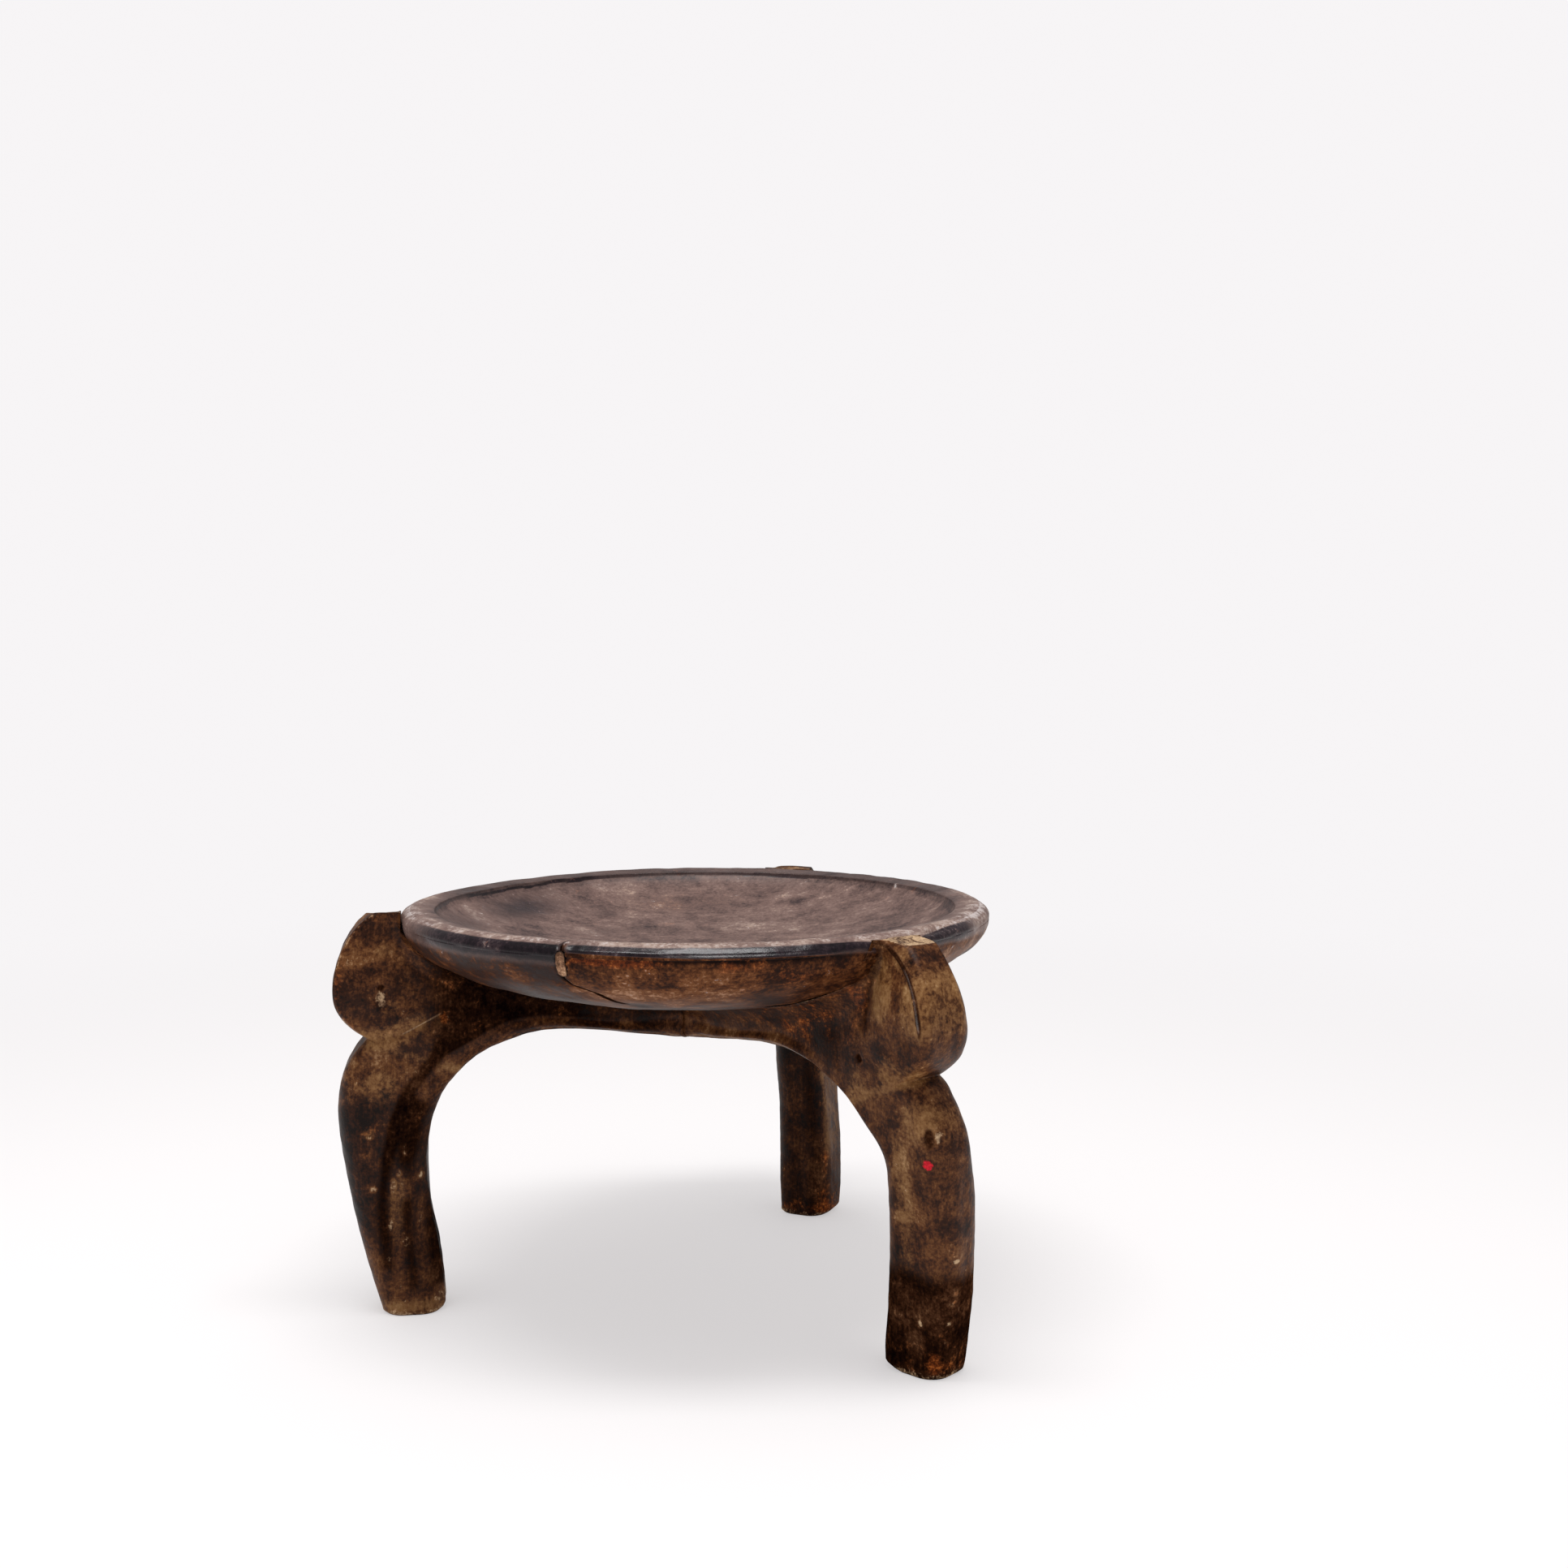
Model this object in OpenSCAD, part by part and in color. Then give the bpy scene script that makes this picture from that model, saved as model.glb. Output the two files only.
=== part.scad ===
// Carved stool: a round dished seat on three bowed legs whose rounded knobs stand beside the rim.
// Z points up, the floor is z = 0, and the origin is the middle of the stool's footprint on the floor.
// Reaches are measured from the upright axis of the dish. Bearings turn from +X towards +Y.

/* [Seat dish] */
// Height of the rim above the floor
stool_h = 229; // [208:1:250]
// Radius of the rim at its widest
rim_r = 170; // [155:1:178]
// Height of the rim's upright edge, above the curve of the underside
rim_edge = 7; // [6:0.5:10]
// Radius that rounds the top of the rim's outer edge
rim_round = 4.5; // [2.5:0.5:5.5]
// Width of the lip around the hollow
lip_w = 19; // [14:0.5:24]
// Fall of the lip towards the hollow
lip_fall = 1.5; // [0.5:0.25:3]
// Depth of the hollow below the rim
hollow_depth = 32; // [24:1:38]
// Depth of the dish's underside below the rim
bowl_depth = 54; // [50:1:58]

/* [Feet and shins] */
// Reach of the left foot's outer face
foot_out = 179; // [172:1:186]
// Reach of the left foot's inner face
foot_in = 146; // [138:1:150]
// Width of the foot across
foot_w = 36; // [31:0.5:42]
// Reach of the knee
knee_out = 204; // [200:1:210]
// Height of the knee's fullest point
knee_z = 117; // [108:1:124]
// Width of the knee across
knee_w = 37; // [34:0.5:44]
// Height of the chamfer worn around the sole
sole_wear = 1.5; // [0.5:0.5:4]

/* [Arch and rib] */
// Reach of the inner face where the arch springs
waist_in = 157; // [151:1:160]
// Height where the arch springs
spring_z = 104; // [92:1:110]
// Reach of the arch's crown
crown_r = 81; // [70:1:90]
// Depth of the rib below the dish, over the arch's crown
rib_depth = 21.5; // [18:0.5:26]
// Drop of the rib's lower edge from the crown to the middle of the stool
rib_sag = 7.5; // [2:0.5:10]
// Width of the rib across, under the middle of the dish
rib_w = 36; // [30:0.5:40]

/* [Notch and knob] */
// Reach of the notch between knee and knob
notch_out = 188; // [184:0.5:192]
// Drop of the notch below the rim
notch_drop = 71; // [67:0.5:76]
// Width of the notch across
notch_w = 34.5; // [32:0.5:38]
// Bulge of the knob, beyond the mean reach of its notch and its flat top
knob_bulge = 18.75; // [15:0.25:24]
// Drop of the knob's fullest point below the rim
knob_drop = 44; // [39:1:49]
// Reach of the middle of the knob's round
knob_mid = 167; // [163:0.5:173]
// Width of the knob across, at its fullest
knob_w = 38.5; // [35:0.5:44]
// Reach of the knob's flat top
top_out = 187.5; // [184:0.5:192]
// Width of the knob's flat top
top_w = 28; // [22:0.5:34]
// Drop of the flat top below the rim
top_drop = 3; // [1:0.25:4]

/* [Set of the legs] */
// Bearing of the left knob
left_knob_angle = 191.5; // [188:0.5:196]
// Bearing of the right knob
right_knob_angle = 310; // [306:0.5:314]
// Bearing of the rear knob
rear_knob_angle = 71; // [67:0.5:75]
// Twist of the left sole from its knob, in degrees
left_twist_angle = -3; // [-10:0.5:10]
// Twist of the right sole from its knob, in degrees
right_twist_angle = 8; // [-10:0.5:12]
// Twist of the rear sole from its knob, in degrees
rear_twist_angle = -4.5; // [-10:0.5:10]
// Spread of the right foot beyond the left one's reach
right_spread = 8.5; // [-4:0.5:12]
// Spread of the rear foot beyond the left one's reach
rear_spread = 6.5; // [-4:0.5:12]
// Width that the right leg lacks beside the left one
right_slim = 4; // [-2:0.5:4.5]
// Width that the rear leg lacks beside the left one
rear_slim = 3.5; // [-2:0.5:4]

/* [Rounding of the long edges] */
// Radius at the feet
foot_round = 12; // [8:0.5:13]
// Radius at the knees
knee_round = 14; // [8:0.5:14.5]
// Radius around the knobs
knob_round = 6; // [3:0.5:9]
// Radius under the arches and ribs
arch_round = 9; // [5:0.5:12]

/* [Rim repair] */
// Bearing of the plug that fills the split in the rim
plug_angle = 249; // [240:1:256]
// Width of the plug
plug_w = 5; // [3:0.5:8]
// Height of the plug
plug_h = 13; // [9:0.5:15]
// Drop of the plug's top below the rim
plug_drop = 4; // [3:0.5:6]
// Depth of the plug into the rim
plug_depth = 7; // [4:0.5:10]

/* [Hidden] */

bark = [0.24, 0.15, 0.10];
umber = [0.34, 0.23, 0.13];
putty = [0.66, 0.47, 0.32];

round_facets = 180;
plug_facets = 32;
arc_steps = 20;
edge_steps = 4;
corner_steps = 5;
shin_steps = 12;
knee_steps = 8;
knob_steps = 20;
rib_steps = 9;
// The shin's outline bulges by the first power, and the knee rolls into the notch by the second.
shin_power = 1.5;
knee_power = 2.4;
// The arch is a quarter ellipse. The knee's sections share it up to this angle, the knob's the rest.
arch_split_angle = 40;
// The rib's hidden top starts this far inside the dish, and is then cut to the dish's underside.
seat_bite = 6;
// The legs start this far below the floor, and are then cut level.
sole_spare = 1;
// The ribs run this many steps past the middle of the stool, and are then cut to their mitres.
rib_spare = 1;
// Where a section is thin, its corners' radius leaves at least this much of the half side flat.
flat_least = 0.5;

function mix(a, b, t) = a + (b - a) * t;
function ease(t) = t * t * (3 - 2 * t);
function way(bearing) = [cos(bearing), sin(bearing)];
function joined(lists) = [for (list = lists) for (item = list) item];

// A value that eases from key to key, each key being [place, value].
function along(u, keys, i = 0) =
    i < len(keys) - 2 && u > keys[i + 1][0]
        ? along(u, keys, i + 1)
        : let (share = (u - keys[i][0]) / (keys[i + 1][0] - keys[i][0]))
          mix(keys[i][1], keys[i + 1][1], ease(min(1, max(0, share))));

// The dish in profile: a quarter ellipse under the rim's upright edge, and another for the hollow.
hollow_r = rim_r - lip_w;
function under_z(r) = stool_h - mix(rim_edge, bowl_depth, sqrt(max(0, 1 - pow(r / rim_r, 2))));
underside = [for (i = [0:arc_steps]) let (r = rim_r * sin(90 * i / arc_steps)) [r, under_z(r)]];
rim_arc = [for (i = [0:edge_steps]) let (a = 90 * i / edge_steps)
    [rim_r - rim_round * (1 - cos(a)), stool_h - rim_round * (1 - sin(a))]];
hollow = [for (i = [0:arc_steps]) let (a = 90 * (1 - i / arc_steps))
    [hollow_r * sin(a), stool_h - mix(lip_fall, hollow_depth, cos(a))]];

// The crown, the notch and the knob hang from the dish, so a change of height goes to the shins.
crown_z = under_z(crown_r) - rib_depth;
notch_z = stool_h - notch_drop;
knob_z = stool_h - knob_drop;
top_z = stool_h - top_drop;

// The knob is round in side view, with its own height above and below its fullest point.
knob_out = (notch_out + top_out) / 2 + knob_bulge;
knob_a = knob_out - knob_mid;
knob_low = acos((notch_out - knob_mid) / knob_a);
knob_high = acos((top_out - knob_mid) / knob_a);
knob_down = (knob_z - notch_z) / sin(knob_low);
knob_up = (top_z - knob_z) / sin(knob_high);

// A leg's sections run from the arch to the outer side. Place u is 0 at the sole, 1 at the knee,
// 2 at the notch, 3 above the knob and 4 at the middle of the stool. A point is [reach, height].
function inner_point(u, spread) =
    u < 1 ? [mix(foot_in + spread, waist_in, ease(u)), spring_z * u]
    : u < 3 ? let (a = u < 2 ? arch_split_angle * (u - 1) : mix(arch_split_angle, 90, u - 2))
        [mix(crown_r, waist_in, cos(a)), mix(spring_z, crown_z, sin(a))]
    : [crown_r * (4 - u), crown_z - rib_sag * ease(u - 3)];

function outer_point(u, spread) =
    u < 1 ? [mix(foot_out + spread, knee_out, 1 - pow(1 - u, shin_power)), knee_z * u]
    : u < 2 ? [mix(knee_out, notch_out, pow(u - 1, knee_power)), mix(knee_z, notch_z, u - 1)]
    : u <= 3 ? let (a = mix(-knob_low, 90, u - 2))
        [knob_mid + knob_a * cos(a), knob_z + (a < 0 ? knob_down : knob_up) * sin(a)]
    : let (r = knob_mid * (4 - u)) [r, under_z(r) + seat_bite];

knob_full = 2 + knob_low / (90 + knob_low);
knob_top = 2 + (knob_low + knob_high) / (90 + knob_low);
inner_widths = [[0, foot_w], [1, knee_w], [4, rib_w]];
outer_widths = [[0, foot_w], [1, knee_w], [2, notch_w],
    [knob_full, knob_w], [knob_top, top_w], [4, rib_w]];
inner_rounds = [[0, foot_round], [1, knee_round], [2, arch_round], [4, arch_round]];
outer_rounds = [[0, foot_round], [1, knee_round], [2, knee_round],
    [knob_full, knob_round], [4, knob_round]];

// One ring of a leg: a section with rounded corners, lowered by drop and drawn in all round by inset.
function ring(u, leg, drop = 0, inset = 0) =
    let (turn = leg[0], lean = leg[1], spread = leg[2], slim = leg[3])
    let (a = inner_point(u, spread), b = outer_point(u, spread), long = norm(b - a), dir = (b - a) / long)
    [for (corner = [0:3]) for (i = [0:corner_steps])
        let (angle = 90 * (corner + i / corner_steps), outer = corner == 0 || corner == 3)
        let (wide = (along(u, outer ? outer_widths : inner_widths) - slim) / 2)
        let (round = along(u, outer ? outer_rounds : inner_rounds))
        let (fillet = min(round, wide - flat_least, long / 2 - flat_least), half = wide - fillet)
        let (s = (outer ? long - fillet : fillet) + (fillet - inset) * cos(angle))
        let (t = (corner < 2 ? half : -half) + (fillet - inset) * sin(angle))
        let (p = a + dir * s, bearing = turn + lean * (1 - ease(p[1] / top_z)))
        [p[0] * cos(bearing) - t * sin(bearing), p[0] * sin(bearing) + t * cos(bearing), p[1] - drop]];

function leg_rings(leg) = concat(
    [ring(0, leg, sole_spare, sole_wear + sole_spare)],
    [for (i = [0:shin_steps - 1]) ring(mix(sole_wear / knee_z, 1, i / shin_steps), leg)],
    [for (i = [0:knee_steps - 1]) ring(1 + i / knee_steps, leg)],
    [for (i = [0:knob_steps - 1]) ring(2 + i / knob_steps, leg)],
    [for (i = [0:rib_steps + rib_spare]) ring(3 + i / rib_steps, leg)]);

left_rings = leg_rings([left_knob_angle, left_twist_angle, 0, 0]);
right_rings = leg_rings([right_knob_angle, right_twist_angle, right_spread, right_slim]);
rear_rings = leg_rings([rear_knob_angle, rear_twist_angle, rear_spread, rear_slim]);

// The dish's axis stands where the middle of the whole footprint is the origin.
leg_points = joined(concat(left_rings, right_rings, rear_rings));
function middle(k) = let (reaches = concat([-rim_r, rim_r], [for (p = leg_points) p[k]]))
    (min(reaches) + max(reaches)) / 2;
seat_x = -middle(0);
seat_y = -middle(1);

// A closed skin over rings that all have the same number of points.
module loft(rings) {
    n = len(rings[0]);
    last = (len(rings) - 1) * n;
    sides = [for (k = [0:len(rings) - 2]) for (i = [0:n - 1])
        let (a = k * n + i, b = k * n + (i + 1) % n)
        each [[a, a + n, b], [b, a + n, b + n]]];
    foot_cap = [for (i = [1:n - 2]) [0, i, i + 1]];
    end_cap = [for (i = [1:n - 2]) [last, last + i + 1, last + i]];
    polyhedron(joined(rings), concat(sides, foot_cap, end_cap), convexity = 6);
}

// The room that a leg may fill: from the floor to the knob's flat top, and to the mitres on both sides.
module leg_room(turn, before, after) {
    far = 2 * knob_out;
    ways = [way(before) + way(turn), way(turn), way(turn) + way(after)];
    linear_extrude(top_z)
        polygon(concat([[0, 0]], [for (w = ways) far * w / norm(w)]));
}

// The space kept clear for the dish, with the rim's edge carried straight up.
module dish_room() {
    rotate_extrude($fn = round_facets)
        polygon(concat(underside, [[rim_r, 2 * stool_h], [0, 2 * stool_h]]));
}

module dish_blank() {
    rotate_extrude($fn = round_facets)
        polygon(concat(underside, rim_arc, hollow));
}

// The plug's outline, with round ends, driven in from the rim's edge.
module plug_room() {
    rotate(plug_angle)
        translate([rim_r - plug_depth, 0, stool_h - plug_drop - plug_h])
            rotate([90, 0, 90])
                linear_extrude(2 * plug_depth) {
                    translate([0, plug_w / 2]) circle(d = plug_w, $fn = plug_facets);
                    translate([0, plug_h - plug_w / 2]) circle(d = plug_w, $fn = plug_facets);
                    translate([-plug_w / 2, plug_w / 2]) square([plug_w, plug_h - plug_w]);
                }
}

module leg(rings, turn, before, after) {
    color(umber)
        translate([seat_x, seat_y, 0])
            difference() {
                intersection() {
                    loft(rings);
                    leg_room(turn, before, after);
                }
                dish_room();
            }
}

module seat_dish() {
    color(bark)
        translate([seat_x, seat_y, 0])
            difference() {
                dish_blank();
                plug_room();
            }
}

module rim_plug() {
    color(putty)
        translate([seat_x, seat_y, 0])
            intersection() {
                dish_blank();
                plug_room();
            }
}

module leg_left() {
    leg(left_rings, left_knob_angle, rear_knob_angle, right_knob_angle);
}

module leg_right() {
    leg(right_rings, right_knob_angle, left_knob_angle, rear_knob_angle);
}

module leg_rear() {
    leg(rear_rings, rear_knob_angle, right_knob_angle, left_knob_angle);
}

seat_dish();
rim_plug();
leg_left();
leg_right();
leg_rear();
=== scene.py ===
"""A low wooden stool carved from one block: a dished seat on three bowed legs with round knobs.

Sizes are in metres. Z points up from the floor, and the photograph is taken looking along +Y.
"""
from types import SimpleNamespace

import bpy
import numpy as np
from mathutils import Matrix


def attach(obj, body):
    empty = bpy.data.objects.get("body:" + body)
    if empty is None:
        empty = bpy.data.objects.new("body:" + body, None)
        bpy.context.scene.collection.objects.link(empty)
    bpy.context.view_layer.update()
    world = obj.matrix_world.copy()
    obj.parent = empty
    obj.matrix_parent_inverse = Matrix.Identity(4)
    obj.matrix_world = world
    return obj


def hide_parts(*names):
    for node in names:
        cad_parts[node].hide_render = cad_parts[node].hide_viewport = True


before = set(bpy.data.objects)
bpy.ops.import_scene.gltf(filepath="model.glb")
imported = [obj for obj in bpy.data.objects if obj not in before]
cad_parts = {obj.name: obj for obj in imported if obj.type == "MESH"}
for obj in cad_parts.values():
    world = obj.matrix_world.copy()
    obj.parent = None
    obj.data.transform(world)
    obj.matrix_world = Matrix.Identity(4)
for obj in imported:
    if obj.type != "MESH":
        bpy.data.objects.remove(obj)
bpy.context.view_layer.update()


# The dished seat
# A shallow round bowl of dark hardwood, adzed and scraped by eye and then polished by use. Its lip is a
# worn satin band, its rim is rounded over, and a drying split runs in from the front.

SEAT_X, SEAT_Y = 0.0176, -0.01448
STOOL_H = 0.229
RIM_R, RIM_EDGE = 0.170, 0.007
ROUND_W, ROUND_H = 0.0095, 0.0064
LIP_W, LIP_FALL = 0.019, 0.0015
LIP_R = RIM_R - LIP_W
HOLLOW_DEPTH, BOWL_DEPTH = 0.032, 0.054
PLUG_W, PLUG_LOW, PLUG_HIGH = 0.0058, 0.2110, 0.2248

# Bearings round the seat's axis, in degrees.
PLUG_DEG, SPLIT_DEG, BEAD_END = 249.1, 249.6, 304
KNOB_DEG, NICK_DEG = 311.5, 321.5
DIP_DEG, LEFT_END, RIGHT_END = 148, 190, 350


def mix(a, b, t):
    """From a at t = 0 to b at t = 1, in a straight line."""
    return a + (b - a) * t


def ease(t):
    """From 0 to 1 along 3t² - 2t³, and level beyond both ends."""
    t = np.clip(t, 0, 1)
    return t * t * (3 - 2 * t)


def hump(x, middle, width):
    """A bell, 1 at its middle, that falls off as exp(-((x - middle) / width)²)."""
    return np.exp(-((x - middle) / width) ** 2)


def ripple(x, y, z, size, seed):
    """A smooth unevenness between about -1 and 1: a quarter of the sum of nine plane waves of about one size,
    whose ways and starts come from the seed."""
    rng = np.random.default_rng(seed)
    waves = rng.normal(size=(9, 3))
    waves /= np.linalg.norm(waves, axis=1, keepdims=True)
    waves *= 2 * np.pi / size * rng.uniform(0.6, 1.5, (9, 1))
    starts = rng.uniform(0, 2 * np.pi, 9)
    return sum(np.sin(kx * x + ky * y + kz * z + s) for (kx, ky, kz), s in zip(waves, starts)) / 4


def facet(face, middle, round_, half=45):
    """How far a round edge is cut back to one flat facet of that half angle in degrees:
    -round_ (1 - cos half / cos d), at the angle d from the facet's middle."""
    d = np.clip(face - middle, -np.radians(half), np.radians(half))
    return -round_ * (1 - np.cos(np.radians(half)) / np.cos(d))


def under_z(r):
    """Height of the dish's underside: a quarter ellipse that hangs from the rim's upright edge."""
    return STOOL_H - mix(RIM_EDGE, BOWL_DEPTH, np.sqrt(np.maximum(0, 1 - (r / RIM_R) ** 2)))


def split_angle(r):
    """Bearing of the split at a reach: straight in from the rim, then slanting off under the bowl, in
    straight lines between its bends."""
    bend_r = [0.118, 0.134, 0.152, 0.160, 0.164, 0.166, RIM_R]
    bend_deg = [259, 256.6, 253.5, 249.7, 248.9, 248.6, PLUG_DEG]
    return np.interp(r, bend_r, bend_deg)


def plug_gap(across, z):
    """Distance outside the plug's outline, a wavy slot with round ends. Inside it is negative."""
    half = PLUG_W / 2
    wave = 0.0005 * np.sin(across * 1900 + 1) * np.sin(z * 1300) + 0.0003 * np.sin(z * 2600)
    return np.hypot(across, z - np.clip(z, PLUG_LOW + half, PLUG_HIGH - half)) - half + wave


def skin(name, points, marks, lines=None):
    """A closed mesh over a grid of points [along, across, xyz] whose rows close on themselves. Its ends are
    fans around the mean of the first and last rows. marks holds four values a point, kept as a colour, and
    so does lines: the distances in millimetres from a dark, a pale and a glossy fine line, and where they
    are drawn."""
    rows, across = points.shape[:2]
    places = np.concatenate([points.reshape(-1, 3), points[[0, -1]].mean(1)])
    here = np.arange(rows * across).reshape(rows, across)
    beside = np.roll(here, -1, axis=1)
    quads = np.stack([here[:-1], beside[:-1], beside[1:], here[1:]], -1).reshape(-1, 4)
    first = np.stack([beside[0], here[0], np.full(across, rows * across)], -1)
    last = np.stack([here[-1], beside[-1], np.full(across, rows * across + 1)], -1)
    mesh = bpy.data.meshes.new(name)
    mesh.from_pydata(places, [], quads.tolist() + first.tolist() + last.tolist())
    mesh.polygons.foreach_set("use_smooth", np.ones(len(mesh.polygons), bool))
    wear = np.concatenate([marks.reshape(-1, 4), marks[[0, -1]].mean(1)])
    drawing = np.zeros((len(places), 4))
    if lines is not None:
        drawing[:rows * across] = lines.reshape(-1, 4)
    for attribute, values in (("marks", wear), ("lines", drawing)):
        kept = mesh.attributes.new(attribute, "FLOAT_COLOR", "POINT")
        kept.data.foreach_set("color", values.ravel())
    mesh.update()
    piece = bpy.data.objects.new(name, mesh)
    bpy.context.scene.collection.objects.link(piece)
    return piece


def dish_profile():
    """Reach and height from the underside's middle, round the rim, to the hollow's middle. The underside is a
    quarter ellipse, the rim an upright and a quarter ellipse, the lip a slope, and the hollow a soft bowl."""
    q = np.radians(np.concatenate([np.linspace(0.4, 70, 50), np.linspace(70.8, 90, 30)]))
    reach, height = [RIM_R * np.sin(q)], [under_z(RIM_R * np.sin(q))]
    up = np.linspace(0.1, 1, 5)
    reach.append(np.full(5, RIM_R))
    height.append(STOOL_H - mix(RIM_EDGE, ROUND_H, up))
    q = np.radians(np.linspace(4, 90, 26))
    reach.append(RIM_R - ROUND_W * (1 - np.cos(q)))
    height.append(STOOL_H - ROUND_H * (1 - np.sin(q)))
    t = np.linspace(0.08, 0.95, 12)
    reach.append(mix(RIM_R - ROUND_W, LIP_R, t))
    height.append(STOOL_H - LIP_FALL * t)
    q = np.radians(np.linspace(89.3, 0.4, 74))
    reach.append(LIP_R * np.sin(q))
    height.append(STOOL_H - mix(LIP_FALL, HOLLOW_DEPTH, np.cos(q) ** 1.15))
    return np.concatenate(reach), np.concatenate(height)


def dish_bearings(count=480):
    """Bearings all round in degrees, nine times as close together near the split as at the back: even steps
    along the running sum of 1 + 8 times a bell."""
    sweep = np.linspace(0, 360, 3601)
    crowd = np.cumsum(1 + 8 * hump(sweep, 253.5, 5.5))
    return np.interp(np.linspace(crowd[0], crowd[-1], count + 1)[:-1], crowd, sweep)


def dish_shape():
    """The bowl: its profile carried round the axis, with the carver's unevenness and cuts added along the
    normal. Gives each point's reach r, height z and bearing, and the parts of the seat that its wear
    follows."""
    profile_r, profile_z = dish_profile()
    way_r, way_z = np.gradient(profile_r), np.gradient(profile_z)
    steep = np.hypot(way_r, way_z)
    normal_r, normal_z = (way_z / steep)[:, None], (-way_r / steep)[:, None]
    tilt = np.degrees(np.arctan2(normal_z, normal_r))
    upper = (np.arange(len(profile_r)) > np.argmax(profile_r >= RIM_R))[:, None]
    bearing = dish_bearings()[None]
    a = np.radians(bearing)
    r, z = profile_r[:, None] + 0 * bearing, profile_z[:, None] + 0 * bearing
    deg = bearing + 0 * r
    edge = (r / RIM_R) ** 4
    outside = ~upper | ((r > RIM_R - ROUND_W) & (tilt < 72))
    below = ~upper & (r < RIM_R - 1e-5)
    grow = edge * (0.0004 * np.cos(2 * a + 1) + 0.0003 * np.cos(5 * a) + 0.0002 * np.cos(9 * a + 2))
    dip = -0.0019 * edge * hump(deg, DIP_DEG, 30)
    x, y = r * np.cos(a), r * np.sin(a)
    off = 0.00018 * ripple(x, y, z, 0.026, 3) + 0.00008 * ripple(x, y, z, 0.009, 4)
    off = off + ~upper * 0.00035 * ripple(x, y, 0.5 * z, 0.030, 5)
    # Right of the split the rim is a bead: it leans in, is polished flat on top, and overhangs the bowl
    # with a crisp lower edge, which is hollowed above further right.
    bead = ease((deg - SPLIT_DEG) / 2) * ease((BEAD_END - deg) / 14)
    up = (z - STOOL_H + RIM_EDGE) / RIM_EDGE
    off = off + upper * bead * facet(np.radians(tilt), np.radians(50), 0.0080, 15)
    far_right = bead * ease((deg - 264) / 5) * (up > -0.02) * outside
    off = off + far_right * (0.0007 * hump(up, 0.02, 0.22) - 0.0004 * hump(up, 0.40, 0.24))
    r = r - below * 0.0026 * bead * np.exp(-(STOOL_H - RIM_EDGE - z) / 0.013)
    r = r - 0.0006 * bead * ease(up) * (r > LIP_R)
    # The split: a step across it, a groove along it, and a pocket for the plug.
    across = np.radians(deg - split_angle(r)) * r
    off = off + 0.0006 * ease(across / 0.001) * np.exp(-np.maximum(across, 0) / 0.05) * edge ** 3
    fade = np.where(upper & (r < RIM_R - 0.002), ease((r - 0.152) / 0.006), 1)
    groove = fade * hump(across, 0, 0.0008) * ease((r - 0.157) / 0.004)
    beside = np.radians(deg - PLUG_DEG) * r
    pocket = 1 - ease((plug_gap(beside, z) + 0.0002) / 0.0006)
    pocket = pocket * (r > 0.14) * (z < STOOL_H - 0.003) * outside
    # A chip off the rim's top edge, just past the right knob.
    nick = hump(deg, NICK_DEG, 3.2) * hump(z - r, STOOL_H - RIM_R + 0.001, 0.004) * (r > 0.16)
    off = off - 0.0022 * groove - 0.0014 * pocket - 0.0022 * nick
    r = r + grow + normal_r * off
    z = z + dip + normal_z * off
    return SimpleNamespace(a=a, r=r, z=z, deg=deg, tilt=tilt, upper=upper, outside=outside, below=below,
                           bead=bead, across=across, groove=groove, beside=beside, pocket=pocket, nick=nick)


# The dark band round the rim reaches down this many millimetres at these bearings.
BAND_DEG = [0, 140, 200, 249, SPLIT_DEG, 256, 273, 302, 316, 360]
BAND_FALL = [12, 9, 11, 10, 4.6, 5.0, 6.0, 6.6, 9, 12]
# Dark patches in the hollow: bearing, reach, half width in degrees, half length, and strength.
HOLLOW_PATCHES = [(146, 0.134, 16, 0.018, 0.65), (123, 0.111, 6, 0.010, 0.35), (140, 0.080, 18, 0.012, 0.3),
                  (122, 0.148, 16, 0.006, 0.22), (190, 0.135, 24, 0.02, 0.5), (72, 0.147, 12, 0.005, 0.3)]
FAR = 9.0


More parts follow.
